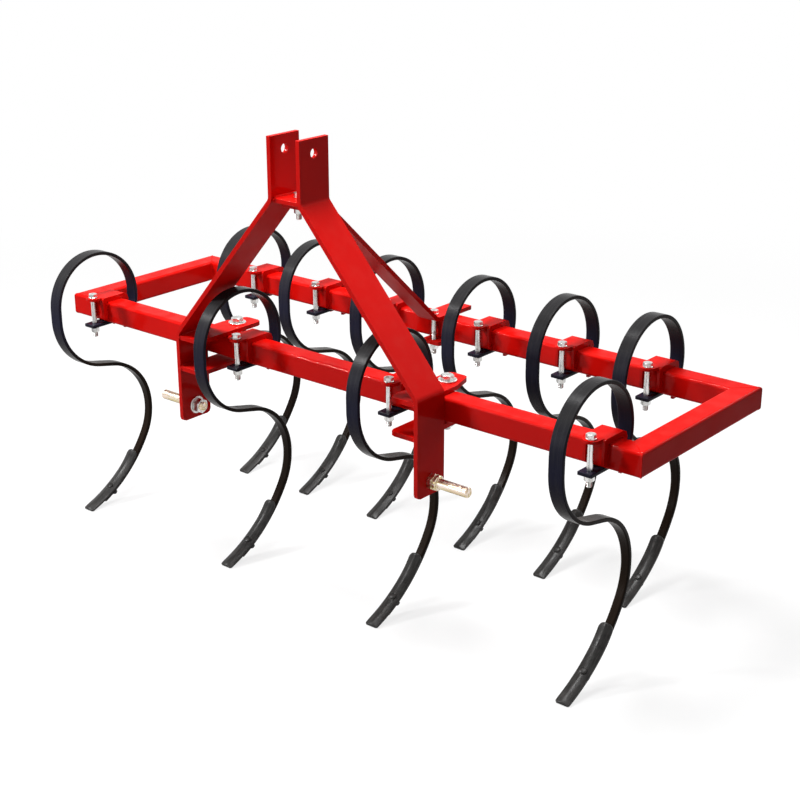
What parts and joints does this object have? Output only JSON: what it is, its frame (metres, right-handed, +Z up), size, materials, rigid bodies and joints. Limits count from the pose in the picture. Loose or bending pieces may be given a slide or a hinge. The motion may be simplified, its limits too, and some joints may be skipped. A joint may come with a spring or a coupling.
{
  "type": "s-tine field cultivator",
  "caption": "Tractor-mounted field cultivator: rectangular tube frame, bent-bar three-point mast with rear brace, and two rows of s-shaped spring tines with curved shares.",
  "frame": {"origin": "on the floor, under the middle of the machine's overall box; the machine stands on the points of its shares", "axes": "+X along the frame's width, towards the driver's left; +Y backwards, away from the tractor; +Z up"},
  "size_m": [1.6, 0.6792, 1.0098],
  "materials": {
    "red_paint": "glossy red paint over steel tube and plate",
    "black_spring_steel": "satin black paint over spring steel strip",
    "share_steel": "dark heat-treated steel, dull with brighter ridges",
    "zinc_plate": "bright zinc plate",
    "yellow_zinc": "yellow passivated zinc plate"
  },
  "bodies": {
    "root": {"front_bar": "red_paint", "rear_bar": "red_paint", "left_end_bar": "red_paint", "right_end_bar": "red_paint", "mast_leg_left": "red_paint", "mast_leg_right": "red_paint", "mast_crosspiece": "red_paint", "rear_brace": "red_paint", "brace_clamp_plate": "red_paint", "brace_top_bolt": "zinc_plate", "brace_bolt_front": "zinc_plate", "brace_bolt_rear": "zinc_plate", "hitch_bolt_left": "zinc_plate", "hitch_bolt_right": "zinc_plate", "lower_link_pin_left": "yellow_zinc", "lower_link_pin_right": "yellow_zinc", "tine_front_1": "black_spring_steel", "tine_front_2": "black_spring_steel", "tine_front_3": "black_spring_steel", "tine_front_4": "black_spring_steel", "tine_rear_1": "black_spring_steel", "tine_rear_2": "black_spring_steel", "tine_rear_3": "black_spring_steel", "tine_rear_4": "black_spring_steel", "tine_rear_5": "black_spring_steel", "tine_rear_6": "black_spring_steel", "share_front_1": "share_steel", "share_front_2": "share_steel", "share_front_3": "share_steel", "share_front_4": "share_steel", "share_rear_1": "share_steel", "share_rear_2": "share_steel", "share_rear_3": "share_steel", "share_rear_4": "share_steel", "share_rear_5": "share_steel", "share_rear_6": "share_steel", "tine_clamp_front_1": "red_paint", "tine_clamp_front_2": "red_paint", "tine_clamp_front_3": "red_paint", "tine_clamp_front_4": "red_paint", "tine_clamp_rear_1": "red_paint", "tine_clamp_rear_2": "red_paint", "tine_clamp_rear_3": "red_paint", "tine_clamp_rear_4": "red_paint", "tine_clamp_rear_5": "red_paint", "tine_clamp_rear_6": "red_paint", "clamp_bolt_front_1": "zinc_plate", "clamp_bolt_front_2": "zinc_plate", "clamp_bolt_front_3": "zinc_plate", "clamp_bolt_front_4": "zinc_plate", "clamp_bolt_rear_1": "zinc_plate", "clamp_bolt_rear_2": "zinc_plate", "clamp_bolt_rear_3": "zinc_plate", "clamp_bolt_rear_4": "zinc_plate", "clamp_bolt_rear_5": "zinc_plate", "clamp_bolt_rear_6": "zinc_plate"}
  },
  "joints": []
}
